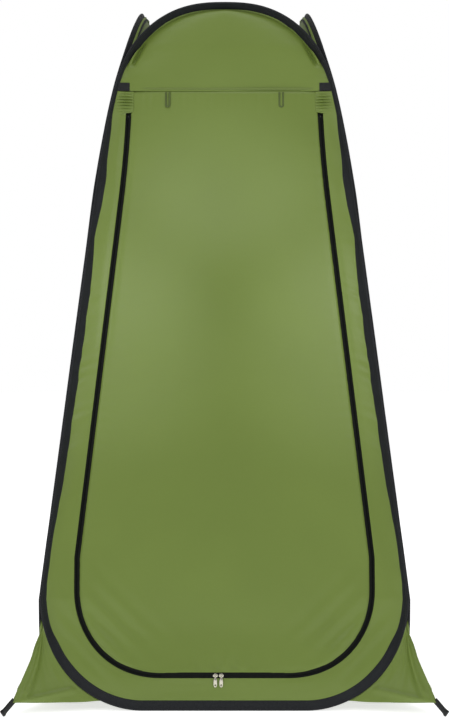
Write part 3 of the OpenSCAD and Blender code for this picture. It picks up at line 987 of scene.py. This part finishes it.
for side in SLIDER_X:
    node = f"zip_stop_{side}"
    low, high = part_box(node)
    centre = (np.array(low) + high) / 2
    a = np.linspace(-2.6, 2.6, 18)
    clamp = xyz(centre[0] + 0.0013 * np.sin(a), centre[1] - 0.0012 * np.cos(a), centre[2])
    stop = ribbon(f"{node}_clamp", clamp, np.tile((0, 0, 1.0), (18, 1)), 0.0046, 0.0007)
    finish_piece(stop, dark_metal, "front", [node])

# -------- tie loops and corner tabs

TIE_X = 0.159
TIE_L = 0.046


def tie_loop(side, sign):
    """A narrow folded tape, sewn in a U and caught in the seam at both ends."""
    node = f"tie_loop_{side}"
    r = 0.0050
    a = np.linspace(0, math.pi, 22)
    run = np.linspace(0, TIE_L - 0.007 - r * 0.2, 14)
    px = np.concatenate([np.full(14, r), r * np.cos(a), np.full(14, -r)])
    pz = np.concatenate([-run, -run[-1] - r * np.sin(a), -run[::-1]])
    tilt = math.atan(0.22)
    y_top, z_top = wall_y(np.array(SEAM_Z)) - 0.003, SEAM_Z - 0.005
    path = xyz(sign * TIE_X + px, y_top + pz * math.sin(tilt), z_top + pz * math.cos(tilt))
    out = np.tile((0, -math.cos(tilt), math.sin(tilt)), (len(px), 1))
    across = unit(np.cross(unit(np.gradient(path, axis=0)), out))
    tape = ribbon(f"{node}_tape", path, across, 0.0054, 0.0020, 0.45)
    # The tape's darker green is painted shade.
    finish_piece(tape, green_loop_shaded, node, [node])
    rows = []
    for offset in (-0.0015, 0.0015):
        line = path + across * offset + out * 0.0009
        rows.append(stitches("row", line, out, pitch=0.0034, long=0.0022, wide=0.0005, proud=0.0002))
    finish_piece(join(f"{node}_stitches", rows), thread_green, node)


tie_loop("left", -1)
tie_loop("right", 1)

TAB_Z = (SEAM_Z - 0.002, SEAM_Z + 0.021)


def dome_y(x, z):
    """Depth of the dome's cloth at a place on its right half, from the two rows of its grid about z."""
    rows = dome_grid[dome_grid[:, 5, 2].argsort(kind="stable")]
    heights = rows[:, 60, 2]
    depths = [np.interp(x, row[1:-1, 0], row[1:-1, 1]) for row in rows]
    return float(np.interp(z, heights, depths))


def tab_line(z, ends, steps=20):
    """Points across a corner tab at one height, on the cloth."""
    return np.array([(x, dome_y(x, max(z, SEAM_Z + 0.0015)), z) for x in np.linspace(*ends, steps)])


for side, sign in (("left", -1), ("right", 1)):
    node = f"corner_tab_{side}"
    low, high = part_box(node)
    ends = (min(abs(low[0]), abs(high[0])) + 0.003, in_sleeve(2.04, sleeve_edge(2.04) + 0.004)[0])
    lift = (0, 0.0022, 0)
    grid = np.array([tab_line(z, ends) for z in np.linspace(*TAB_Z, 12)]) - lift
    tab = sheet_mesh(f"{node}_web", mirror(grid, sign), 0.0013)
    finish_piece(tab, black_web, "front", [node])
    rows = []
    for z in (TAB_Z[0] + 0.003, TAB_Z[1] - 0.003):
        line = tab_line(z, (ends[0] + 0.002, ends[1] - 0.005)) - lift - (0, 0.0007, 0)
        rows.append(stitches("row", mirror(line, sign), facing_front(20), pitch=0.0026, long=0.0018))
    finish_piece(join(f"{node}_stitches", rows), thread_dark, "front")

# -------- roof

ROOF_S = 2.25
ROOF_DIP = 0.030


def arch_at(t):
    t = np.asarray(t, float)
    s = 3 - (3 - ROOF_S) * np.abs(2 * t - 1)
    p = in_sleeve(s, np.full_like(s, BAND_W * 0.45), np.full_like(s, BAND_T / 2 + 0.0006))
    return mirror_where(p, t < 0.5)


def mirror_where(p, left):
    q = p.copy()
    q[..., 0] = np.where(left, -q[..., 0], q[..., 0])
    return q


def roof_point(u, v):
    """A place on the sheet between the four arches: u runs to the right, v to the back."""
    front, back = arch_at(u), spin(arch_at(1 - u), 2)
    right, left = spin(arch_at(v), 1), spin(arch_at(1 - v), 3)
    wu, wv = (u * (1 - u))[..., None], (v * (1 - v))[..., None]
    a = front * (1 - v)[..., None] + back * v[..., None]
    b = left * (1 - u)[..., None] + right * u[..., None]
    total = wu + wv
    p = np.where(total < 1e-9, a, (a * wu + b * wv) / np.maximum(total, 1e-9))
    p[..., 2] -= ROOF_DIP * 16 * (wu * wv)[..., 0]
    return p


def roof_gore(side, k):
    """The quarter of the roof between a hoop's arch and the middle."""
    t = np.linspace(0, 1, 34)[:, None]
    q = np.linspace(0, 1, 61)[None]
    v = 0.5 * t * 0.998 + 0 * q
    u = v + (1 - 2 * v) * q
    grid = roof_point(u, v)
    away = np.linalg.norm(grid - grid[:1], axis=-1)
    grid[..., 2] -= puckers(q * 0.5 + 0 * t, away, 0.0012, 0.04, 0.03, 100 + k) * smooth(away / 0.008)
    thing = sheet_mesh(f"roof_gore_{side}", spin(grid, k), facing=(0, 0, 1))
    finish_piece(thing, green, side, ["roof"])
    tuple(wall_outward(k))
    tuple(spin(arch_at(np.array(0.5)), k))
    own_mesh(thing)


for side, k in SIDES.items():
    roof_gore(side, k)

# -------- gussets and stake loops

GUSSET_S = (0.27, 0.90)
GUSSET_TOP = np.array((0.486, -0.486, 0.224))
GUSSET_TIP = np.array((0.566, -0.566, 0.034))
LOOP_AT = GUSSET_TIP + np.array((0.0014, -0.0014, -0.001))
LOOP_EYE = 0.0034
LOOP_L = 0.0405
LOOP_W = 0.0165
LOOP_DROP = math.radians(38)
RIDGE_REACH = 0.008
CORNERS = {
    "front_right": (0, "front", "right"),
    "back_right": (1, "right", "back"),
    "back_left": (2, "back", "left"),
    "front_left": (3, "front", "left"),
}


def across_corner(p):
    return xyz(-p[..., 1], -p[..., 0], p[..., 2])


def gusset_half(mirrored):
    """From the ridge to the front hoop's corner curve, or its mirror image across the corner."""
    t = np.linspace(0, 1, 40)[:, None]
    s = (GUSSET_S[1] + (GUSSET_S[0] - GUSSET_S[1]) * t)[:, 0]
    edge = in_sleeve(s, np.full_like(s, BAND_W - 0.0006))
    ridge = GUSSET_TOP + (GUSSET_TIP - GUSSET_TOP) * t
    q = np.linspace(0, 1, 30)[None, :, None]
    grid = ridge[:, None] * (1 - q) + edge[:, None] * q
    normal = grid_normals(grid)
    across = q[..., 0]
    off_fold = (across - 0.09 - 0.30 * (1 - t)) / (0.03 + 0.09 * (1 - t))
    fold = -0.012 * np.exp(-(off_fold ** 2)) * smooth(t * 3) * smooth((1 - t) * 6)
    hem_line = 1 - 0.24 * across
    skirt = np.clip((t - hem_line) / np.maximum(1 - hem_line, 0.03), 0, 1)
    flare = 0.010 * skirt * smooth(across * 3) * smooth((1 - across) * 4)
    pinch = -0.006 * np.exp(-(((t - hem_line) / 0.035) ** 2)) * smooth(across * 5) * smooth((1 - across) * 4)
    belly = 0.006 * np.sin(math.pi * across) * np.sin(math.pi * t)
    fan = 0.0006 * np.sin(across * 2 * math.pi / 0.23 + t * 2) * np.sin(math.pi * across) ** 0.5
    wrinkle = flare + pinch + fan * smooth(t * 3)
    outward = -normal * np.sign(normal[20, 15, 1])
    grid = grid - outward * (fold + belly + wrinkle)[..., None]
    return across_corner(grid) if mirrored else grid


def loop_turned(p):
    """From the stake loop's own axes to the front-right corner: hanging down along its diagonal."""
    x = p[:, 0] * math.cos(LOOP_DROP) + p[:, 2] * math.sin(LOOP_DROP)
    z = -p[:, 0] * math.sin(LOOP_DROP) + p[:, 2] * math.cos(LOOP_DROP)
    c = math.sqrt(0.5)
    return np.stack([x * c + p[:, 1] * c, -x * c + p[:, 1] * c, z], -1)


def stake_loop(corner, k):
    """Folded webbing: two layers that open round the eye, sewn with bar tacks."""
    eye_x = LOOP_L - LOOP_EYE - 0.0016
    r = LOOP_EYE + 0.0009
    a = np.linspace(math.radians(150), math.radians(-150), 30)
    run = np.linspace(-0.012, eye_x - r * 2.6, 14)
    px = np.concatenate([run, eye_x + r * np.cos(a), run[::-1]])
    py = np.concatenate([np.full(14, 0.0009), r * np.sin(a), np.full(14, -0.0009)])
    path = spin(loop_turned(xyz(px, py, 0)) + LOOP_AT, k)
    width = spin(loop_turned(np.tile((0, 0, 1.0), (len(px), 1))), k)
    thing = ribbon(f"stake_loop_{corner}_web", path, width, LOOP_W, 0.0013, 0.4)
    tack = []
    for x in (0.002, 0.006, 0.026):
        for side in (1, -1):
            line = xyz(x, 0.0017 * side, np.linspace(-0.006, 0.006, 12))
            line, out = spin(loop_turned(line) + LOOP_AT, k), spin(loop_turned(-side * facing_front(12)), k)
            tack.append(stitches("row", line, out, pitch=0.0016, long=0.0013, wide=0.0008, proud=0.0003))
    return thing, join(f"stake_loop_{corner}_stitches", tack)


def corner_line(k):
    """Points on the two sides of a corner's ridge."""
    near, far = 0.5 - RIDGE_REACH, 0.5 + RIDGE_REACH
    return spin(np.array((near, -far, 0.1)), k), spin(np.array((far, -near, 0.1)), k)


for corner, (k, first, second) in CORNERS.items():
    loop, sewn = stake_loop(corner, k)
    a_to_b = corner_line(k)
    if corner == "front_left":
        a_to_b = a_to_b[::-1]
    halves = {first: gusset_half(corner == "front_left"), second: gusset_half(corner != "front_left")}
    if corner == "back_left":
        for body, grid in halves.items():
            facing = wall_outward(SIDES[body])
            thing = sheet_mesh(f"gusset_{corner}_{body}_cloth", spin(grid, k), facing=facing)
            finish_piece(thing, green, body, [f"gusset_{corner}"])
        finish_piece(loop, black_web, "back", [f"stake_loop_{corner}"])
        finish_piece(sewn, thread_dark, "back")
        continue
    parts = []
    for body, grid in halves.items():
        parts.append(sheet_mesh("half", spin(grid, k), facing=wall_outward(SIDES[body])))
    gusset = join(f"gusset_{corner}_cloth", parts)
    finish_piece(gusset, green, None, [f"gusset_{corner}"])
    finish_piece(loop, black_web, None, [f"stake_loop_{corner}"])
    finish_piece(sewn, thread_dark)
    for piece in (gusset, loop, sewn):
        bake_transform(piece)

# -------- strips across the folding corners

BRIDGE_CORNERS = ("front_left", "back_right")
BRIDGE_SLACK = 0.003
BRIDGE_REACH = 0.0025


def bridge_grid():
    """From sleeve to sleeve at the root of a corner's fin, with a little slack towards the inside."""
    s = np.linspace(0.93, 2.0, 70)
    near = in_sleeve(s, sleeve_edge(s) + 0.0015)
    q = np.linspace(0, 1, 9)[None, :, None]
    grid = near[:, None] * (1 - q) + across_corner(near)[:, None] * q
    return grid + np.array((-1, 1, 0)) * BRIDGE_SLACK * np.sin(math.pi * q)


for corner in BRIDGE_CORNERS:
    k, first, second = CORNERS[corner]
    grid = bridge_grid()
    facing = spin(np.array((1.0, -1.0, 0)), k)
    bridge = sheet_mesh(f"corner_strip_{corner}", spin(grid, k), facing=facing)
    finish_piece(bridge, charcoal)
    middle = spin(np.array((0.5, -0.5, 0.3)), k)
    aside = spin(np.array((1.0, 1.0, 0)), k) * BRIDGE_REACH / math.sqrt(2)
    if corner == "front_left":
        aside = -aside
    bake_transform(bridge)

# -------- CAD parts that stay

for side in SIDES:
    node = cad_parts[f"{side}_ferrule"]
    node.data.materials.clear()
    node.data.materials.append(spring_steel)

# -------- floor

floor_mesh = bpy.data.meshes.new("floor")
floor_mesh.from_pydata([(-30, -12, 0), (30, -12, 0), (30, 30, 0), (-30, 30, 0)], [], [(0, 1, 2, 3)])
floor = bpy.data.objects.new("floor", floor_mesh)
scene.collection.objects.link(floor)
pale, _, surface = new_material("floor_pale")
surface.inputs["Base Color"].default_value = (0.96, 0.96, 0.96, 1)
surface.inputs["Roughness"].default_value = 0.9
surface.inputs["Emission Color"].default_value = (1, 1, 1, 1)
surface.inputs["Emission Strength"].default_value = 0.70
floor.data.materials.append(pale)
